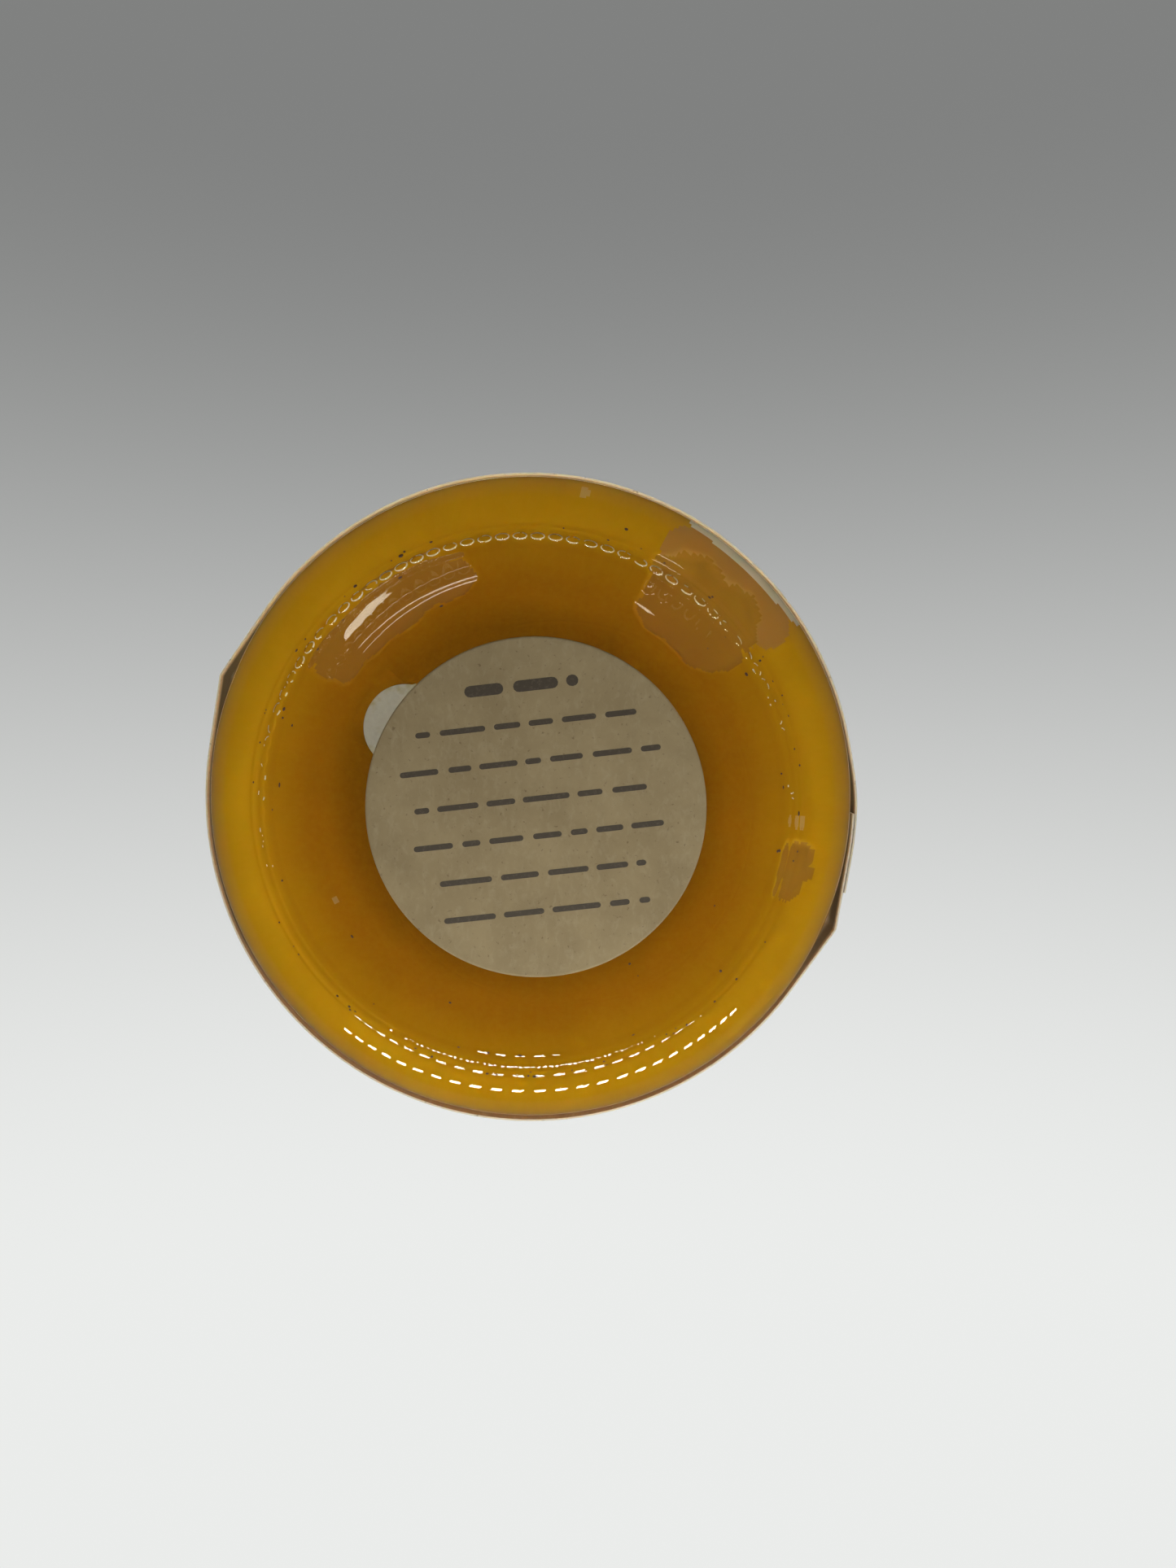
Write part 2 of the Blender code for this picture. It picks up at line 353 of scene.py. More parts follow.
def heel_z(radius, angle):
    """Height of the heel's arc outside the bearing ring, blended from the land round the knurls."""
    drop = HEEL_RADIUS - math.sqrt(max(0.0, HEEL_RADIUS ** 2 - (radius - RING_OUTER_RADIUS) ** 2))
    land = KNURL_HEIGHT * (1.0 - smoothstep(*LAND_END, radius))
    return drop + land * (1.0 - knurl_height(angle, radius)) - bead_height(angle, radius)


def tumbler_profile():
    """Outline (r, z) from the heel up over the rim and down to the middle of the floor."""
    start = math.degrees(math.acos((PLAIN_HEEL_RADIUS - RING_OUTER_RADIUS) / HEEL_RADIUS))
    profile = []
    for r, z in arc(RING_OUTER_RADIUS, HEEL_RADIUS, HEEL_RADIUS, -start, 0, 15):
        profile.append((r, heel_z(r, 0.0) if r < LAND_END[1] else z))
    rim_z = JAR_HEIGHT - RIM_ROUND
    profile += [(JAR_RADIUS, HEEL_RADIUS + (rim_z - HEEL_RADIUS) * k / 6) for k in range(1, 6)]
    profile += arc(JAR_RADIUS - RIM_ROUND, rim_z, RIM_ROUND, 0, 90, 6)
    profile += arc(INNER_RADIUS + RIM_ROUND, rim_z, RIM_ROUND, 90, 180, 6)
    corner_z = FLOOR_TOP + INNER_FILLET
    profile += [(INNER_RADIUS, rim_z + (corner_z - rim_z) * k / 6) for k in range(1, 6)]
    profile += arc(INNER_RADIUS - INNER_FILLET, corner_z, INNER_FILLET, 0, -90, 16)
    return profile + [(r * MM, FLOOR_TOP) for r in (40.6, 38, 32, 22, 15, 8, 1)]


def wall_point(angle, r, z):
    """A point of the outline, turned to this angle, with the wall's swell taken off."""
    here = polar(angle, r, z)
    swell = noise.noise(Vector((here.x, here.y, z * 0.6)) / WALL_SWELL_LENGTH) * WALL_SWELL
    fade = smoothstep(*WALL_SWELL_LOW, z) * (1 - smoothstep(*WALL_SWELL_HIGH, z))
    return polar(angle, r - abs(swell) * fade, z)


def tumbler():
    columns = KNURLS * KNURL_STEPS
    rings = underside_rings(columns)
    for r, z in tumbler_profile():
        rings.append([wall_point(360.0 * i / columns, r, z) for i in range(columns)])
    verts, faces = capped_rings(rings)
    piece = new_object("tumbler_glass", verts, faces, [glass_material()])
    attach(piece, "jar")
    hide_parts("glass_jar")


def mark_shows(centre, turn):
    """Whether a knurl's painted highlight line is whole at this turn round it."""
    place = polar(centre + 2.0 * math.cos(turn), KNURL_CENTRE_RADIUS + 0.6 * MM * math.sin(turn))
    patchy = MARK_PATCHINESS * noise.noise(place / MARK_PATCH)
    return math.cos(math.radians(centre - KNURL_BRIGHT_SIDE)) + patchy >= MARK_LEAST


def mark_segment(bm, centre, start, end):
    """One short closed bar of the line, lying on the knurl, between two turns round it."""
    verts = []
    for depth in (-MARK_DEPTH / 2, MARK_DEPTH / 2):
        for side in (-0.5, 0.5):
            for turn in (start, end):
                along = math.cos(turn) * (KNURL_HALF_LENGTH * MARK_REACH + side * MARK_WIDTH)
                across = math.sin(turn) * (KNURL_HALF_WIDTH * MARK_REACH + side * MARK_WIDTH)
                angle = centre + math.degrees(along / KNURL_CENTRE_RADIUS)
                p = polar(angle, KNURL_CENTRE_RADIUS + across)
                p.z = max(MARK_DEPTH / 2, underside_z(p.x, p.y)) + depth
                verts.append(bm.verts.new(p))
    # A corner's number has 1 for the far end, 2 for the outer side and 4 for the upper face
    for corners in ((0, 1, 3, 2), (4, 6, 7, 5), (0, 4, 5, 1), (2, 3, 7, 6), (0, 2, 6, 4), (1, 5, 7, 3)):
        bm.faces.new([verts[k] for k in corners])


def knurl_highlight_marks():
    """A rough line round each knurl's flat, painted pale as a painted highlight, whole on the bright
    side and broken up elsewhere.
    """
    bm = bmesh.new()
    step = math.tau / MARK_STEPS
    for number in range(KNURLS):
        centre = 360.0 * number / KNURLS
        for k in range(MARK_STEPS):
            if mark_shows(centre, step * (k + 0.5)):
                mark_segment(bm, centre, step * k, step * (k + 1))
    bmesh.ops.recalc_face_normals(bm, faces=bm.faces)
    piece = object_from_bmesh("knurl_highlight_marks", bm, highlight_ring_material())
    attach(piece, "jar")


# ---------------------------------------------------------------- wax
def mould_profile():
    """The wax's underside and side as (r, z, outward normal (r, z), arc length from the corner)."""
    corner_r = INNER_RADIUS - INNER_FILLET
    corner_z = FLOOR_TOP + INNER_FILLET
    quarter = INNER_FILLET * math.pi / 2
    points = []
    for r in [*np.linspace(1 * MM, 30 * MM, 8), *np.arange(30.3 * MM, corner_r, 0.3 * MM)]:
        points.append((r, FLOOR_TOP, (0.0, -1.0), r - corner_r))
    corner = arc(corner_r, corner_z, INNER_FILLET, -90, 0, 32)
    for k, (r, z) in enumerate(corner):
        normal = ((r - corner_r) / INNER_FILLET, (z - corner_z) / INNER_FILLET)
        points.append((r, z, normal, quarter * k / 32))
    for k in range(1, 7):
        z = corner_z + (wax_high.z - corner_z) * k / 6
        points.append((INNER_RADIUS, z, (1.0, 0.0), quarter + z - corner_z))
    return points


def spot_cover(spot, angle, along):
    """1 inside a spot, 0 outside it, with a narrow ragged edge between."""
    place = polar(angle, INNER_RADIUS - INNER_FILLET + along)
    u = angle_between(angle, spot["angle"]) / spot["half"]
    middle = (spot["start"] + spot["end"]) / 2
    v = (along - middle) / ((spot["end"] - spot["start"]) / 2)
    rough = noise.noise(place / (6 * MM)) + 0.4 * noise.noise(place / (2 * MM))
    reach = (abs(u) ** SPOT_SQUARENESS + abs(v) ** SPOT_SQUARENESS) ** (1 / SPOT_SQUARENESS)
    reach += spot["ragged"] * rough
    return 1.0 - smoothstep(*SPOT_EDGE, reach)


# Material slots of the wax
WETTED, OPEN_TOP, LOOSE, PALE, SILVER, HAZY = range(6)


def wax_look(angle, along, clear):
    """Which material the wax shows at this place of its mould profile."""
    if clear > 0.5:
        return LOOSE
    if spot_cover(SILVER_SPOT, angle, along) > 0.5:
        return SILVER
    if spot_cover(PALE_SPOT, angle, along) > 0.5:
        return PALE
    return HAZY if max(spot_cover(spot, angle, along) for spot in HAZY_SPOTS) > 0.5 else WETTED


def wax_top_point(angle, radius):
    """The open top: faint ripples, and a meniscus where it meets the wall."""
    p = polar(angle, radius)
    rise = MENISCUS * smoothstep(*MENISCUS_SPAN, radius) ** 2
    ripple = (noise.noise(p / TOP_RIPPLE_LENGTH) - 1.0) * TOP_RIPPLE
    p.z = WAX_TOP + rise + ripple * (1 - smoothstep(*TOP_RIPPLE_FADE, radius))
    return p


def wax_puck():
    rings = []
    looks = []
    angles = [360.0 * i / WAX_COLUMNS for i in range(WAX_COLUMNS)]
    for r, z, normal, along in mould_profile():
        ring = []
        look = []
        for angle in angles:
            clear = max(spot_cover(spot, angle, along) for spot in WET_SPOTS)
            shift = COUPLED - (COUPLED + GAP) * clear
            ring.append(polar(angle, r + normal[0] * shift, z + normal[1] * shift))
            look.append(wax_look(angle, along, clear))
        rings.append(ring)
        looks.append(look)
    mould_rows = len(rings)
    rings += [[wax_top_point(angle, radius * MM) for angle in angles] for radius in WAX_TOP_RADII]
    verts, faces = capped_rings(rings)
    piece = new_object("wax_puck", verts, faces, wax_materials())
    for polygon in piece.data.polygons:
        rows = [v // WAX_COLUMNS for v in polygon.vertices]
        if min(rows) >= mould_rows - 1:
            polygon.material_index = OPEN_TOP
        elif max(rows) < mould_rows:
            first = min(polygon.vertices)
            polygon.material_index = looks[first // WAX_COLUMNS][first % WAX_COLUMNS]
    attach(piece, "wax")
    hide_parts("wax_residue")
    return piece


# ---------------------------------------------------------------- label
def label_ring(radius, level):
    """One ring of the disc, with the paper's faint curl, which grows towards the edge."""
    ring = []
    for i in range(LABEL_COLUMNS):
        p = polar(360.0 * i / LABEL_COLUMNS, radius)
        curl = noise.noise(Vector((p.x, p.y, 1.7)) / (11 * MM)) * 0.035 * MM
        curl *= (radius / LABEL_RADIUS) ** 3
        ring.append(Vector((LABEL_CENTRE.x + p.x, LABEL_CENTRE.y + p.y, level + curl)))
    return ring


def label_disc():
    back = LABEL_FACE + LABEL_THICKNESS
    rings = [label_ring(radius * MM, LABEL_FACE) for radius in LABEL_RINGS]
    rings += [label_ring(LABEL_RADIUS, LABEL_FACE + LABEL_EDGE_ROUND)]
    rings += [label_ring(LABEL_RADIUS, back - LABEL_EDGE_ROUND)]
    rings += [label_ring(radius * MM, back) for radius in reversed(LABEL_RINGS)]
    verts, faces = capped_rings(rings)
    piece = new_object("label_disc", verts, faces, [label_material()], sharp=60)
    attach(piece, "jar")
    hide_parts("base_label")
    piece.visible_shadow = False        # no shadow; the wax is painted darker towards the label instead, as painted shade


def label_print():
    """Plain dashes in rows, in place of print: one bold row and six finer ones."""
    rng = np.random.default_rng(SEED)
    rows = [HEADING]
    rows += [(FIRST_ROW + ROW_PITCH * k, ROW_HEIGHT, width) for k, width in enumerate(ROW_WIDTHS)]
    bm = bmesh.new()
    for y, height, width in rows:
        x = -width / 2
        while x < width / 2 - 1.0:
            length = min(rng.uniform(*DASH_LENGTHS), width / 2 - x)
            dash(bm, x, y, length, height)
            x += length + rng.uniform(*DASH_GAPS)
    tilt = Matrix.Rotation(math.radians(PRINT_TILT), 4, "Z")
    for vert in bm.verts:
        vert.co = tilt @ (vert.co * MM)
        vert.co += Vector((LABEL_CENTRE.x, LABEL_CENTRE.y, LABEL_FACE))
    bmesh.ops.recalc_face_normals(bm, faces=bm.faces)
    piece = object_from_bmesh("label_print", bm, ink_material())
    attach(piece, "jar")
    piece.visible_shadow = False


def dash(bm, x, y, length, height):
    """A thin bar with round ends, in millimetres."""
    radius = height / 2
    outline = []
    for centre, start in ((x + length - radius, -90), (x + radius, 90)):
        for k in range(7):
            a = math.radians(start + 30 * k)
            outline.append((centre + radius * math.cos(a), y + radius * math.sin(a)))
    lower = [bm.verts.new((px, py, -INK_OUT)) for px, py in outline]
    upper = [bm.verts.new((px, py, INK_IN)) for px, py in outline]
    bm.faces.new(lower)
    bm.faces.new(upper[::-1])
    for i in range(len(outline)):
        j = (i + 1) % len(outline)
        bm.faces.new((lower[i], upper[i], upper[j], lower[j]))


# ---------------------------------------------------------------- band
def band_radius(angle):
    """Inner radius of the sleeve, which stands off the glass towards its two creases."""
    to_crease = abs((angle - CREASE_ANGLE + 90.0) % 180.0 - 90.0)
    off_glass = max(0.0, CREASE_REACH - to_crease)
    return (JAR_RADIUS + BAND_SLACK) / math.cos(math.radians(off_glass))


# Material slots of the band
SHEET_FACE, CUT_EDGE, INNER_FACE = range(3)


def strip_point(turn, z, outward):
    """A point of the strip, this many degrees along it from its inner end."""
    angle = SEAM_ANGLE + turn - SEAM_OVERLAP
    lift = (BAND_THICKNESS + SEAM_GAP) * smoothstep(*SEAM_CLIMB, turn)
    p = polar(angle, 1.0)
    wave = noise.noise(Vector((p.x * 2.2, p.y * 2.2, z / (30 * MM)))) * 0.07 * MM
    inner = band_radius(angle % 360.0) + lift + abs(wave)
    return polar(angle, inner + outward, z) + Vector((BAND_CENTRE.x, BAND_CENTRE.y, 0.0))


def kraft_sleeve():
    """One strip of paper wrapped once round the wall, its outer end glued over its inner end."""
    row = BAND_ROWS + 1
    sheet = (BAND_COLUMNS + 1) * row
    verts = []
    for outward in (0.0, SHEET_THICKNESS):
        for k in range(BAND_COLUMNS + 1):
            turn = (360.0 + SEAM_OVERLAP) * k / BAND_COLUMNS
            for m in range(row):
                z = band_low.z + (band_high.z - band_low.z) * (m / BAND_ROWS)
                verts.append(strip_point(turn, z, outward))
    faces = []
    slots = []
    for k in range(BAND_COLUMNS):
        for m in range(BAND_ROWS):
            a, b = k * row + m, (k + 1) * row + m
            faces += [(a, a + 1, b + 1, b), (sheet + a, sheet + b, sheet + b + 1, sheet + a + 1)]
            slots += [INNER_FACE, SHEET_FACE]
        for edge in (0, BAND_ROWS):
            a, b = k * row + edge, (k + 1) * row + edge
            faces.append((a, b, sheet + b, sheet + a))
            slots.append(CUT_EDGE)
    for k in (0, BAND_COLUMNS):
        for m in range(BAND_ROWS):
            a = k * row + m
            faces.append((a, a + 1, sheet + a + 1, sheet + a))
            slots.append(CUT_EDGE)
    piece = new_object("kraft_sleeve", verts, faces, band_materials(), sharp=50)
    for polygon, slot in zip(piece.data.polygons, slots):
        polygon.material_index = slot
    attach(piece, "band")
    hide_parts("kraft_band")


# ---------------------------------------------------------------- wick stacks
def wick_stack(side):
    """One sticker, tab and wick; gives back what their pocket in the wax needs."""
    low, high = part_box(f"wick_sticker_{side}")
    place = Vector(((low.x + high.x) / 2, (low.y + high.y) / 2, 0.0))
    tab_low, tab_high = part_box(f"wick_tab_{side}")
    wick_low, wick_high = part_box(f"wick_{side}")

    foam = turned_piece(f"foam_disc_{side}", FOAM_PROFILE, 72, place, FLOOR_TOP - COUPLED,
                        [foam_material()])
    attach(foam, "jar")
    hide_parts(f"wick_sticker_{side}")

    tab = tab_piece(f"steel_tab_{side}", place, tab_low.z, tab_high.z)
    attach(tab, "jar")
    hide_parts(f"wick_tab_{side}")

    cotton = braid_piece(f"braided_wick_{side}", place, wick_low.z, wick_high.z)
    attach(cotton, "jar")
    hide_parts(f"wick_{side}")
    return {"place": place, "sticker": (high.x - low.x) / 2, "tab_top": tab_low.z + TAB_DISC_TOP * MM,
            "neck_top": tab_high.z}


def turned_piece(name, profile, columns, place, base_z, materials):
    rings = [[place + polar(360.0 * i / columns, r * MM, base_z + z * MM) for i in range(columns)]
             for r, z in profile]
    verts, faces = capped_rings(rings)
    return new_object(name, verts, faces, materials, sharp=50)


def tab_piece(name, place, low, high):
    """Stamped disc with a rolled edge and four ribs, and a neck crimped onto the wick."""
    columns = 96
    height = (high - low) / MM
    neck, bore = 1.85, 1.35
    profile = [(bore, 0.0), (3.0, 0.0), (5.6, 0.0), (6.1, 0.05), (6.3, 0.25), (6.1, 0.45), (5.6, 0.4),
               (4.5, 0.4), (3.0, 0.4), (2.2, 0.55), (1.95, 0.9)]
    profile += [(neck, z) for z in (1.6, 3.0, 4.4, 5.8, 7.2, 8.6, height - 0.1)]
    profile += [(1.75, height), (1.45, height), (bore, height - 0.2), (bore, 6.0), (bore, 3.0)]
    verts = []
    for r, z in profile:
        squeeze = sum(math.exp(-((z - middle) / spread) ** 2) for middle, spread in TAB_CRIMPS)
        for i in range(columns):
            angle = 360.0 * i / columns
            rise = 0.0
            radius = r
            if 2.5 < r < 5.8:
                rise = 0.12 * max(0.0, math.cos(math.radians(4 * angle))) ** 3
            if 1.5 < r < 2.0 and z > 1.0:
                radius -= 0.14 * squeeze * max(0.0, math.cos(math.radians(3 * angle)))
            verts.append(place + polar(angle, radius * MM, low + (z + rise) * MM))
    faces = ring_faces(len(profile), columns, closed=True)
    return new_object(name, verts, faces, [tin_material()], sharp=60)


def braid_piece(name, place, low, high):
    """Braided cotton: strands that cross in both directions, frayed and burnt at the tip."""
    columns = 48
    rows = 90
    rings = []
    for k in range(rows + 1):
        share = k / rows
        z = low + (high - low) * share
        taper = 1.0 - 0.42 * smoothstep(0.86, 1.0, share)
        lean = Vector((0.12 * smoothstep(0.6, 1.0, share) * MM, 0.0, 0.0))
        twist = 2 * z / BRAID_PITCH
        ring = []
        for i in range(columns):
            angle = 360.0 * i / columns
            a = math.radians(angle)
            strands = max(math.sin(3 * a + twist), math.sin(3 * a - twist))
            around = Vector((math.cos(a), math.sin(a), z / (0.5 * MM)))
            rough = noise.noise(around * 2.0) * 0.05 * (0.4 + share)
            radius = WICK_RADIUS * taper * (0.90 + 0.09 * strands + rough)
            ring.append(place + lean + polar(angle, radius * MM, z))
        rings.append(ring)
    verts, faces = capped_rings(rings)
    return new_object(name, verts, faces, [wick_material(low, high)])


def cut_pockets(wax, stacks):
    """Clear the wax round each stack: disc pocket, neck bore and wick hole, open at both ends."""
    for number, stack in enumerate(stacks):
        sticker = stack["sticker"] / MM + 0.04
        tab_top = (stack["tab_top"] - FLOOR_TOP) / MM
        neck_top = (stack["neck_top"] - FLOOR_TOP) / MM + 0.1
        top = (WAX_TOP - FLOOR_TOP) / MM + 1.5
        profile = [(0.2, -1.0), (sticker, -1.0), (sticker, tab_top), (NECK_BORE, tab_top + 0.2),
                   (NECK_BORE, neck_top), (WICK_BORE, neck_top + 0.2), (WICK_BORE, top), (0.2, top)]
        cutter = turned_piece(f"pocket_{number}", profile, 64, stack["place"], FLOOR_TOP, [])
        hole = wax.modifiers.new(f"pocket_{number}", "BOOLEAN")
        hole.operation = "DIFFERENCE"
        hole.solver = "EXACT"
        hole.object = cutter
        apply_modifiers(wax)
        bpy.data.objects.remove(cutter, do_unlink=True)


def apply_modifiers(obj):
    depsgraph = bpy.context.evaluated_depsgraph_get()
    mesh = bpy.data.meshes.new_from_object(obj.evaluated_get(depsgraph), depsgraph=depsgraph)
    obj.modifiers.clear()
    obj.data = mesh


# ---------------------------------------------------------------- specks
def base_specks():
    """Tiny flecks of dark dirt caught beside the knurls."""
    rng = np.random.default_rng(SEED + 4)
    bm = bmesh.new()
    for _ in range(SPECKS):
        angle = rng.uniform(0.0, 360.0)
        radius = rng.choice([rng.uniform(*SPECKS_OUTSIDE), rng.uniform(*SPECKS_INSIDE)],
                            p=[SHARE_OUTSIDE, 1.0 - SHARE_OUTSIDE])
        if rng.random() < SHARE_STRAY:
            radius = rng.uniform(*STRAYS)
        size = rng.uniform(*SPECK_SIZES)
        r = radius * MM
        z = underside_z(*polar(angle, r)[:2]) if r < RING_OUTER_RADIUS else heel_z(r, angle)
        made = bmesh.ops.create_icosphere(bm, subdivisions=2, radius=size * MM)
        spin = Matrix.Rotation(math.radians(angle), 4, "Z")
        shape = Matrix.Diagonal((rng.uniform(0.5, 1.0), rng.uniform(0.7, 1.6), 0.35, 1.0))
        move = Matrix.Translation(polar(angle, r, z - size * 0.2 * MM))
        bmesh.ops.transform(bm, matrix=move @ spin @ shape, verts=made["verts"])
    for vert in bm.verts:
        vert.co.z = max(vert.co.z, 0.01 * MM)
    piece = object_from_bmesh("base_specks", bm, speck_material())
    piece.data.shade_smooth()
    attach(piece, "jar")


# ---------------------------------------------------------------- materials
def set_range(node, *numbers):
    """Fill a Map Range node: from low, from high, to low, to high."""
    for key, number in zip(("From Min", "From Max", "To Min", "To Max"), numbers):
        node.inputs[key].default_value = number


class Nodes:
    """Small helper to write node trees in one line a node."""

    def __init__(self, name):
        self.material = bpy.data.materials.new(name)
        self.material.use_nodes = True
        self.tree = self.material.node_tree
        self.shader = self.tree.nodes["Principled BSDF"]
        self.output = self.tree.nodes["Material Output"]
        self.place = self.add("ShaderNodeTexCoord").outputs["Object"]

    def add(self, kind, **settings):
        node = self.tree.nodes.new(kind)
        for key, value in settings.items():
            setattr(node, key, value)
        return node

    def link(self, source, target):
        self.tree.links.new(source, target)
        return target

    def noise(self, scale, detail=4.0, rough=0.5, stretch=None, distortion=0.0):
        node = self.add("ShaderNodeTexNoise")
        node.inputs["Scale"].default_value = scale
        node.inputs["Detail"].default_value = detail
        node.inputs["Roughness"].default_value = rough
        node.inputs["Distortion"].default_value = distortion
        source = self.place
        if stretch:
            mapping = self.add("ShaderNodeMapping")
            mapping.inputs["Scale"].default_value = stretch
            self.link(source, mapping.inputs["Vector"])
            source = mapping.outputs["Vector"]
        self.link(source, node.inputs["Vector"])
        return node.outputs["Fac"]

    def remap(self, value, low, high, to_low, to_high, smooth=False):
        node = self.add("ShaderNodeMapRange")
        node.interpolation_type = "SMOOTHSTEP" if smooth else "LINEAR"
        set_range(node, low, high, to_low, to_high)
        self.link(value, node.inputs["Value"])
        return node.outputs["Result"]

    def mix(self, factor, a, b):
        node = self.add("ShaderNodeMix", data_type="RGBA")
        self.put(factor, node.inputs[0])
        self.put(a, node.inputs[6])
        self.put(b, node.inputs[7])
        return node.outputs[2]

    def math(self, operation, a, b=None):
        node = self.add("ShaderNodeMath", operation=operation)
        self.put(a, node.inputs[0])
        if b is not None:
            self.put(b, node.inputs[1])
        return node.outputs[0]

    def put(self, value, socket):
        if isinstance(value, bpy.types.NodeSocket):
            self.link(value, socket)
        elif isinstance(value, tuple):
            socket.default_value = (*value, 1.0)
        else:
            socket.default_value = value

    def set(self, name, value):
        """Give an input of the surface a number, a colour or another node's output."""
        self.put(value, self.shader.inputs[name])

    def bump(self, height, distance, strength):
        node = self.add("ShaderNodeBump")
        node.inputs["Strength"].default_value = strength
        node.inputs["Distance"].default_value = distance
        self.link(height, node.inputs["Height"])
        self.link(node.outputs["Normal"], self.shader.inputs["Normal"])

    def axis_radius(self):
        """Distance from the jar's axis and height, in metres."""
        parts = self.add("ShaderNodeSeparateXYZ")
        self.link(self.place, parts.inputs[0])
        square = self.math("ADD", self.math("MULTIPLY", parts.outputs[0], parts.outputs[0]),
                           self.math("MULTIPLY", parts.outputs[1], parts.outputs[1]))
        return self.math("SQRT", square), parts.outputs[2]


def glass_material():
    n = Nodes("clear_glass")
    n.set("Base Color", (0.975, 0.985, 0.965))
    n.set("IOR", 1.5)
    n.set("Transmission Weight", 1.0)
    n.set("Roughness", n.remap(n.noise(90, 5, 0.6), 0.55, 0.8, 0.0, 0.045, True))
    n.bump(n.noise(160, 2, 0.5), 0.00002, 0.25)
    # Lamps shine through it, and light caught inside the wall gets out after three reflections
    clear = n.add("ShaderNodeBsdfTransparent")
    clear.inputs["Color"].default_value = (0.95, 0.96, 0.94, 1.0)
    path = n.add("ShaderNodeLightPath")
    caught = n.math("GREATER_THAN", path.outputs["Glossy Depth"], 2.5)
    mixer = n.add("ShaderNodeMixShader")
    n.link(n.math("MAXIMUM", path.outputs["Is Shadow Ray"], caught), mixer.inputs[0])
    n.link(n.shader.outputs[0], mixer.inputs[1])
    n.link(clear.outputs[0], mixer.inputs[2])
    n.link(mixer.outputs[0], n.output.inputs["Surface"])
    return n.material


def highlight_ring_material():
    n = Nodes("ground_glass_painted_highlight")
    grain = n.noise(1800, 4, 0.7)
    shine = n.remap(grain, 0.35, 0.65, 0.0, 1.0)
    # Painted highlight: the pale warm colour stands in for the glints on the knurls' flanks; only the
    # roughness is like ground glass
    n.set("Base Color", n.mix(shine, (0.62, 0.50, 0.22), (1.0, 0.92, 0.66)))
    n.set("Roughness", n.remap(grain, 0.3, 0.7, 0.25, 0.45))
    n.bump(grain, 0.00001, 0.5)
    return n.material


def wax_materials():
    """The wax's slots, in order: wetting the glass, open top, loose, pale, silvery and hazy; pale,
    silvery and hazy are painted reflection, painted glint and painted sheen.
    """
    dull = (0.205, 0.080, 0.006)
    looks = {
        "wax_on_glass": (0.0, 0.6, 0.0, dull),
        "wax_open_top": (0.5, 0.34, 0.70, (0.50, 0.26, 0.018)),
        "wax_loose": (0.1, 0.45, 0.62, dull),
        # Painted reflection: paler wax where it touches the glass, in place of a loosened spot's
        # air-gap reflection
        "wax_pale_painted_reflection": (0.0, 0.5, 0.80, (0.375, 0.190, 0.052)),
        # Painted glint: a silvery edge in place of the reflection off a thin air film
        "wax_silver_painted_glint": (0.0, 0.4, 0.85, (0.62, 0.60, 0.50)),
        # Painted sheen: paler wax in place of the reflection off small bubbles
        "wax_hazy_painted_sheen": (0.0, 0.5, 0.30, (0.62, 0.52, 0.28)),
    }
    return [wax_material(name, *look) for name, look in looks.items()]


def wax_material(name, specular, roughness, share, tone):
    n = Nodes(name)
    radius, _ = n.axis_radius()
    cloud = n.remap(n.noise(60, 5, 0.6), 0.3, 0.7, 0.0, 1.0)
    # Painted shade and light: the wax is darker and redder towards the middle, in place of the label's
    # shadow, and yellower towards the edge, where more light gets in
    shaded_deep = n.mix(cloud, (0.232, 0.088, 0.003), (0.268, 0.103, 0.004))
    orange = n.mix(cloud, (0.335, 0.132, 0.004), (0.375, 0.152, 0.005))
    lit_yellow = n.mix(cloud, (0.435, 0.228, 0.005), (0.470, 0.250, 0.006))
    edge = n.math("ADD", radius, n.math("MULTIPLY", n.noise(45, 3, 0.5), 0.003))
    body = n.mix(n.remap(edge, 0.0270, 0.0340, 0.0, 1.0, True), shaded_deep, orange)
    body = n.mix(n.remap(edge, 0.0345, 0.0455, 0.0, 1.0, True), body, lit_yellow)
    grain = n.noise(900, 4, 0.7)
    body = n.mix(n.remap(grain, 0.35, 0.75, 0.0, 0.10), body, (0.62, 0.38, 0.03))
    body = n.mix(share, body, tone)
    n.set("Base Color", body)
    n.set("Roughness", roughness)
    n.set("Specular IOR Level", specular)
    n.set("Subsurface Weight", 0.5)
    n.shader.inputs["Subsurface Radius"].default_value = (1.0, 0.5, 0.1)
    n.set("Subsurface Scale", 0.005)
    if specular:
        n.bump(n.noise(260, 5, 0.6), 0.0001, 0.4)
    return n.material


def paper_nodes(name, dark, light, fleck, fibre_stretch, fibre_share=0.55):
    """Kraft paper: faint clouds, fibres drawn out one way, and a few dark flecks."""
    n = Nodes(name)
    cloud = n.noise(130, 6, 0.62)
    body = n.mix(n.remap(cloud, 0.35, 0.68, 0.0, 1.0), dark, light)
    fibres = n.noise(1000, 4, 0.65, stretch=fibre_stretch, distortion=0.6)
    body = n.mix(n.remap(fibres, 0.50, 0.72, 0.0, fibre_share), body, fleck)
    flecks = n.noise(1500, 3, 0.55, distortion=0.3)
    body = n.mix(n.remap(flecks, 0.64, 0.72, 0.0, 0.55), body, (0.16, 0.10, 0.05))
    n.set("Base Color", body)
    n.set("Roughness", n.remap(cloud, 0.3, 0.7, 0.72, 0.88))
    n.set("Specular IOR Level", 0.25)
    n.bump(n.math("ADD", fibres, n.math("MULTIPLY", cloud, 0.6)), 0.00004, 0.5)
    return n


def label_material():
    return paper_nodes("label_paper", (0.365, 0.275, 0.138), (0.445, 0.342, 0.180),
                       (0.53, 0.43, 0.26), (1.0, 0.55, 1.0), 0.38).material


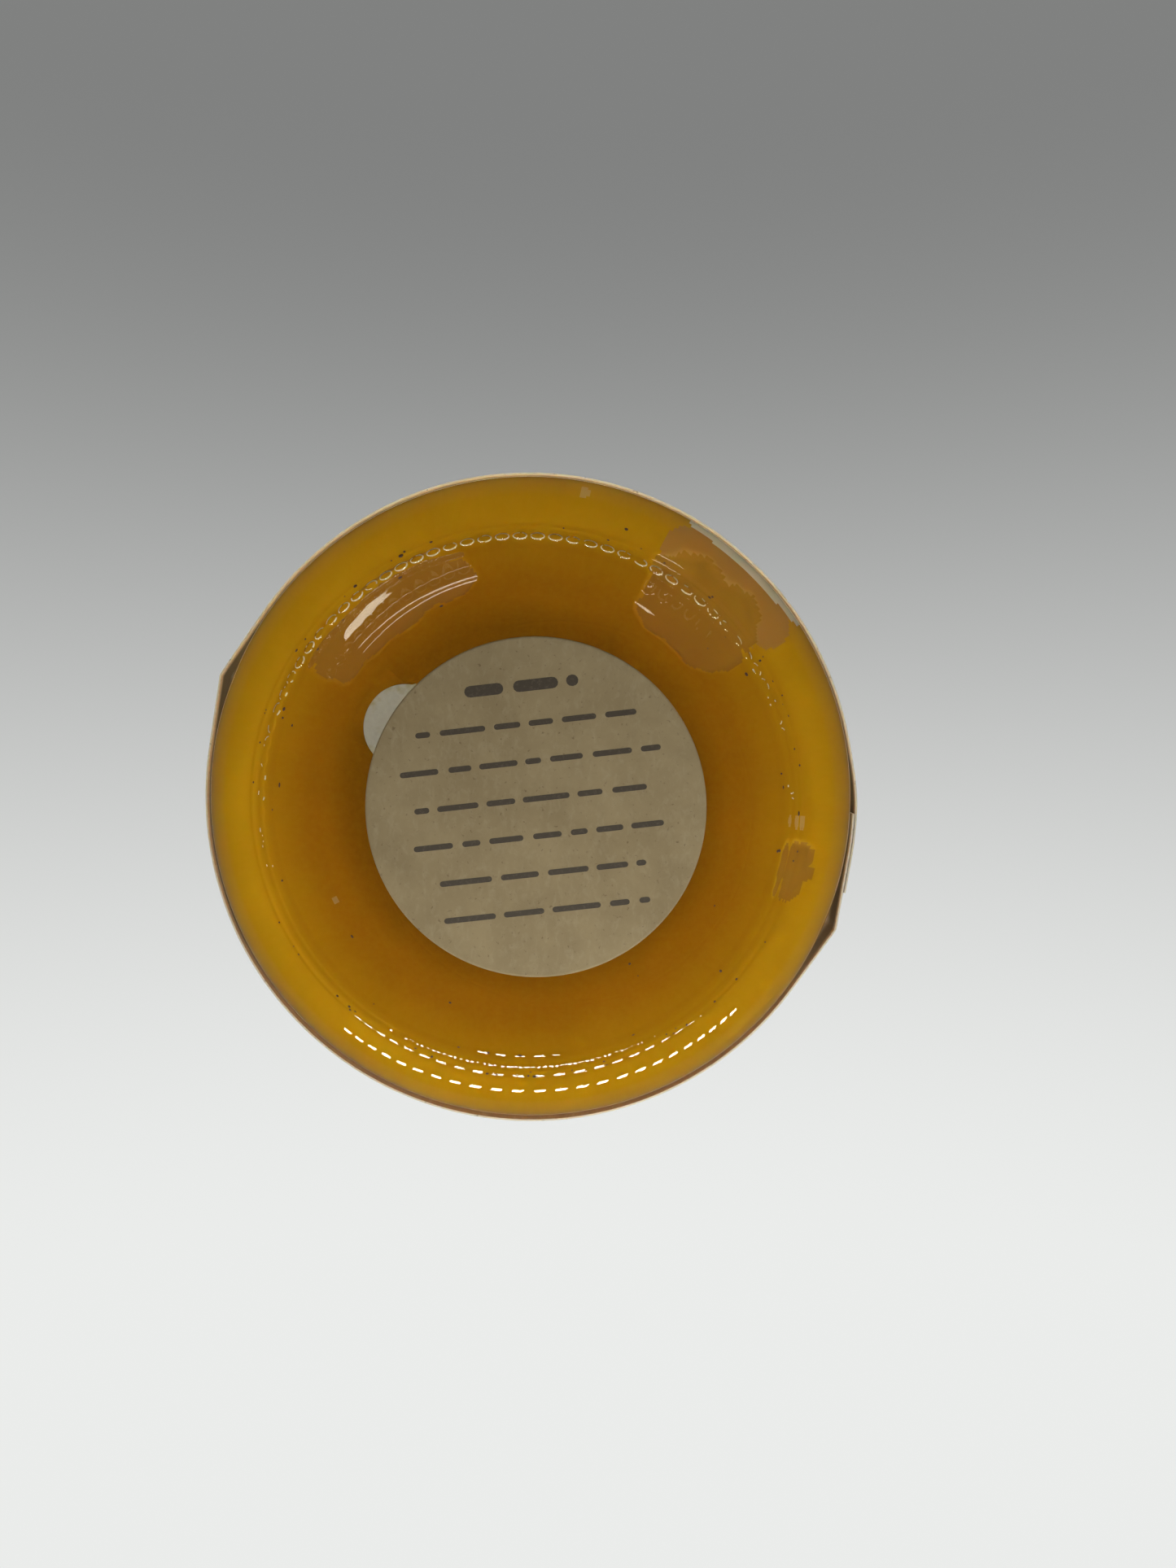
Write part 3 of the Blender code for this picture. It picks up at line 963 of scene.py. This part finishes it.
def band_materials():
    """The sheet, its cut edge and its inner face, which has painted shade in the gap by the glass; all
    let some light through.
    """
    kraft = ((0.54, 0.37, 0.20), (0.59, 0.41, 0.225), (0.72, 0.54, 0.33), (1.0, 1.0, 0.30))
    sheet = paper_nodes("band_paper", *kraft)
    inside = paper_nodes("band_inside_painted_shade", *kraft)
    edge = paper_nodes("band_cut_edge", (0.78, 0.66, 0.48), (0.86, 0.75, 0.57), (0.90, 0.82, 0.68),
                       (1.0, 1.0, 1.0))
    for paper in (sheet, inside):
        parts = paper.add("ShaderNodeSeparateXYZ")
        paper.link(paper.place, parts.inputs[0])
        x, y, z = parts.outputs
        angle = paper.math("ARCTAN2", y, x)
        off_crease = paper.math("SINE", paper.math("SUBTRACT", angle, math.radians(CREASE_ANGLE)))
        at_crease = paper.remap(paper.math("ABSOLUTE", off_crease), 0.004, 0.016, 1.0, 0.0, True)
        patchy = paper.remap(paper.noise(600, 4, 0.6), 0.35, 0.65, 0.2, 0.9)
        plain = paper.shader.inputs["Base Color"].links[0].from_socket
        body = paper.mix(paper.math("MULTIPLY", at_crease, patchy), plain, (0.80, 0.66, 0.46))
        # Painted shade: the inner face is darkened in the gap between the paper and the glass, less
        # where the lamps shine in
        if paper is inside:
            above_edge = paper.remap(z, *BAND_SHADE_LOW, 0.0, 1.0, True)
            below_light = paper.remap(z, *BAND_SHADE_HIGH, 1.0, 0.0, True)
            unlit = paper.remap(y, *BAND_LIT_SIDE, 1.0, 0.2, True)
            painted_shade = paper.math("MULTIPLY", paper.math("MULTIPLY", above_edge, below_light), unlit)
            body = paper.mix(painted_shade, body, (0.085, 0.052, 0.014))
        paper.set("Base Color", body)
    for paper in (sheet, edge, inside):
        paper.set("Subsurface Weight", 0.6)
        paper.shader.inputs["Subsurface Radius"].default_value = (1.0, 0.75, 0.45)
        paper.set("Subsurface Scale", 0.0008)
    return [sheet.material, edge.material, inside.material]


def ink_material():
    n = Nodes("ink")
    worn = n.noise(1800, 4, 0.7)
    faded = n.remap(worn, 0.52, 0.75, 0.0, 0.5)
    n.set("Base Color", n.mix(faded, (0.075, 0.055, 0.035), (0.18, 0.14, 0.09)))
    n.set("Roughness", 0.7)
    n.bump(worn, 0.00001, 0.4)
    return n.material


def foam_material():
    n = Nodes("sticker_foam")
    cells = n.noise(1600, 3, 0.6)
    foam = n.mix(cells, (0.47, 0.47, 0.42), (0.62, 0.62, 0.56))
    soaked = n.remap(n.noise(260, 4, 0.6), 0.50, 0.68, 0.0, 0.65, True)
    n.set("Base Color", n.mix(soaked, foam, (0.38, 0.32, 0.10)))
    n.set("Roughness", 0.8)
    n.set("Specular IOR Level", 0.1)
    n.bump(cells, 0.00005, 0.5)
    return n.material


def tin_material():
    n = Nodes("tinned_steel")
    dull = n.noise(350, 5, 0.65)
    n.set("Base Color", n.mix(dull, (0.50, 0.50, 0.49), (0.72, 0.72, 0.70)))
    n.set("Metallic", 1.0)
    n.set("Roughness", n.remap(dull, 0.3, 0.7, 0.2, 0.42))
    n.bump(n.noise(900, 3, 0.6), 0.00002, 0.4)
    return n.material


def wick_material(low, high):
    n = Nodes("cotton_wick")
    _, height = n.axis_radius()
    burnt = n.remap(height, low + (high - low) * 0.66, low + (high - low) * 0.86, 0.0, 1.0, True)
    fibres = n.noise(3000, 4, 0.65)
    cotton = n.mix(fibres, (0.30, 0.19, 0.07), (0.55, 0.40, 0.20))
    char = n.mix(fibres, (0.008, 0.007, 0.006), (0.05, 0.045, 0.04))
    n.set("Base Color", n.mix(burnt, cotton, char))
    n.set("Roughness", 0.85)
    n.bump(fibres, 0.00008, 0.7)
    return n.material


def speck_material():
    n = Nodes("dark_specks")
    tone = n.noise(900, 2, 0.5)
    n.set("Base Color", n.mix(tone, (0.035, 0.010, 0.005), (0.10, 0.035, 0.012)))
    n.set("Roughness", 0.6)
    return n.material


# ---------------------------------------------------------------- stage, light and camera
CAMERA_PLACE = Vector((0.01325, -0.01286, -0.17164))
CAMERA_AIM = Vector((0.00920, -0.00296, 0.0))
CAMERA_UP = Vector((0.0, -1.0, 0.0))
LENS = 27.05
DARK_BELOW = 0.035                      # strength of the world below the jar
PALE_BELOW = 0.06                       # and as light that was turned back in the glass sees it
OUTSIDE_SHARE = 0.15                    # what reflections off the outside see of the world


def make_camera():
    data = bpy.data.cameras.new("camera")
    data.lens = LENS
    data.sensor_width = 36.0
    data.clip_start = 0.005
    camera = bpy.data.objects.new("camera", data)
    bpy.context.collection.objects.link(camera)
    forward = (CAMERA_AIM - CAMERA_PLACE).normalized()
    right = forward.cross(CAMERA_UP).normalized()
    up = right.cross(forward)
    turn = Matrix((right, up, -forward)).transposed().to_4x4()
    camera.matrix_world = Matrix.Translation(CAMERA_PLACE) @ turn
    bpy.context.scene.camera = camera


def make_world():
    world = bpy.data.worlds.new("light_box")
    bpy.context.scene.world = world
    world.use_nodes = True
    tree = world.node_tree
    background = tree.nodes["Background"]
    coords = tree.nodes.new("ShaderNodeTexCoord")
    parts = tree.nodes.new("ShaderNodeSeparateXYZ")
    tree.links.new(coords.outputs["Generated"], parts.inputs[0])

    def put(value, socket):
        if isinstance(value, float):
            socket.default_value = value
        else:
            tree.links.new(value, socket)

    def remap(value, *numbers):
        node = tree.nodes.new("ShaderNodeMapRange")
        node.interpolation_type = "SMOOTHSTEP"
        set_range(node, *numbers)
        put(value, node.inputs["Value"])
        return node.outputs["Result"]

    def math_node(operation, a, b):
        node = tree.nodes.new("ShaderNodeMath")
        node.operation = operation
        put(a, node.inputs[0])
        put(b, node.inputs[1])
        return node.outputs[0]

    def mix(factor, a, b):
        node = tree.nodes.new("ShaderNodeMix")
        node.data_type = "FLOAT"
        put(factor, node.inputs[0])
        put(a, node.inputs[2])
        put(b, node.inputs[3])
        return node.outputs[0]

    _, y, z = parts.outputs
    overhead = remap(y, -0.45, 0.42, 0.22, 0.84)
    walls = remap(y, -0.8, 0.8, 0.45, 0.85)
    level = mix(remap(z, 0.45, 0.80, 0.0, 1.0), walls, overhead)
    # Reflections off the outside see a dim box; light turned back inside the glass sees a pale one
    path = tree.nodes.new("ShaderNodeLightPath")
    been_inside = math_node("MINIMUM", path.outputs["Transmission Depth"], 1.0)
    reflected = math_node("MINIMUM", path.outputs["Glossy Depth"], 1.0)
    turned_back = math_node("MULTIPLY", reflected, been_inside)
    still_outside = math_node("SUBTRACT", 1.0, been_inside)
    off_outside = math_node("MULTIPLY", path.outputs["Is Glossy Ray"], still_outside)
    below = mix(turned_back, DARK_BELOW, PALE_BELOW)
    level = mix(remap(z, -0.22, 0.05, 1.0, 0.0), level, below)
    level = mix(off_outside, level, math_node("MULTIPLY", level, OUTSIDE_SHARE))
    tree.links.new(level, background.inputs["Strength"])
    background.inputs["Color"].default_value = (0.985, 1.0, 0.985, 1.0)


def make_floor():
    """A pale floor that shows only from above, directly or straight through the glass."""
    bm = bmesh.new()
    bmesh.ops.create_grid(bm, x_segments=1, y_segments=1, size=20.0)
    material = bpy.data.materials.new("floor")
    material.use_nodes = True
    tree = material.node_tree
    paint = tree.nodes["Principled BSDF"]
    paint.inputs["Base Color"].default_value = (0.80, 0.80, 0.79, 1.0)
    paint.inputs["Roughness"].default_value = 0.9
    clear = tree.nodes.new("ShaderNodeBsdfTransparent")
    side = tree.nodes.new("ShaderNodeNewGeometry")
    mixer = tree.nodes.new("ShaderNodeMixShader")
    path = tree.nodes.new("ShaderNodeLightPath")
    unseen = tree.nodes.new("ShaderNodeMath")
    unseen.operation = "MAXIMUM"
    tree.links.new(side.outputs["Backfacing"], unseen.inputs[0])
    tree.links.new(path.outputs["Glossy Depth"], unseen.inputs[1])
    tree.links.new(unseen.outputs[0], mixer.inputs[0])
    tree.links.new(paint.outputs[0], mixer.inputs[1])
    tree.links.new(clear.outputs[0], mixer.inputs[2])
    tree.links.new(mixer.outputs[0], tree.nodes["Material Output"].inputs["Surface"])
    floor = object_from_bmesh("floor", bm, material)
    floor.location.z = -0.0002
    floor.visible_diffuse = False
    floor.visible_glossy = False
    floor.visible_shadow = False
    floor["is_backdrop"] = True


def area_light(name, place, size, power, target=(0.0, 0.0, 0.0), colour=(1.0, 1.0, 1.0)):
    data = bpy.data.lights.new(name, "AREA")
    data.shape = "RECTANGLE"
    data.size, data.size_y = size
    data.energy = power
    data.color = colour
    lamp = bpy.data.objects.new(name, data)
    bpy.context.collection.objects.link(lamp)
    lamp.location = place
    lamp.visible_camera = False
    lamp.rotation_euler = (Vector(target) - Vector(place)).to_track_quat("-Z", "Y").to_euler()
    return lamp


def below_axis(azimuth, off_axis, distance):
    """A place below the base, by its angle about +Z and its angle off straight down."""
    out = math.radians(off_axis)
    return polar(azimuth, distance * math.sin(out), -distance * math.cos(out))


LED_COLOUR = (1.0, 0.93, 0.74)
LED_COUNT = 24
LED_ROW = 0.33
LED_SIZE = (0.007, 0.026)
LED_POWER = 0.036
STRIP_PLACE = (-0.030, -0.115, -0.333)
STRIP_SIZE = (0.24, 0.011)
STRIP_POWER = 0.27
FILL_COUNT = 8
FILL_POWER = 0.035
FILL_LEAN = 0.65                        # the box is brighter on this side, by this share
FILL_SIDE = 60.0


def make_lights():
    """The box's strip of LEDs gives the highlights, and broad lamps beside it give the light."""
    for k in range(LED_COUNT):
        place = below_axis(90.0, 55.0, 0.25)
        place.x = LED_ROW * (k / (LED_COUNT - 1) - 0.5)
        led = area_light(f"led_{k}", place, LED_SIZE, LED_POWER, colour=LED_COLOUR)
        led.visible_diffuse = False
    # A second strip, seen only where it shines back through the glass from bare patches
    far = area_light("strip", STRIP_PLACE, STRIP_SIZE, STRIP_POWER, colour=LED_COLOUR)
    far.visible_diffuse = False
    far.visible_glossy = False
    broad = [area_light("main", below_axis(76.0, 45.0, 0.15), (0.10, 0.10), 0.135),
             area_light("key", (-0.35, -0.45, 0.75), (0.5, 0.5), 6.0, target=(0.0, 0.0, 0.05))]
    for k in range(FILL_COUNT):
        azimuth = 360.0 * k / FILL_COUNT
        power = FILL_POWER * (1.0 + FILL_LEAN * math.cos(math.radians(azimuth - FILL_SIDE)))
        broad.append(area_light(f"fill_{k}", below_axis(azimuth, 38.0, 0.45), (0.16, 0.16), power))
    for lamp in broad:
        lamp.visible_glossy = False
        lamp.visible_transmission = False
    # The rim's highlight; it is straight behind the jar from the main camera
    crown = area_light("crown", (0.05, -0.10, 0.9), (0.15, 0.4), 1.5, target=(0.0, 0.0, 0.1))
    crown.visible_diffuse = False
    crown.visible_transmission = False


def main():
    view = bpy.context.scene.view_settings
    view.view_transform = "Standard"
    make_camera()
    make_world()
    make_floor()
    make_lights()
    tumbler()
    knurl_highlight_marks()
    stacks = [wick_stack(side) for side in ("left", "right")]
    wax = wax_puck()
    cut_pockets(wax, stacks)
    label_disc()
    label_print()
    kraft_sleeve()
    base_specks()
    bpy.context.view_layer.update()
    sizes = {"cad": cad_bounds, "visual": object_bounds()}
    {k: [list(corner) for corner in v] for k, v in sizes.items()}


main()
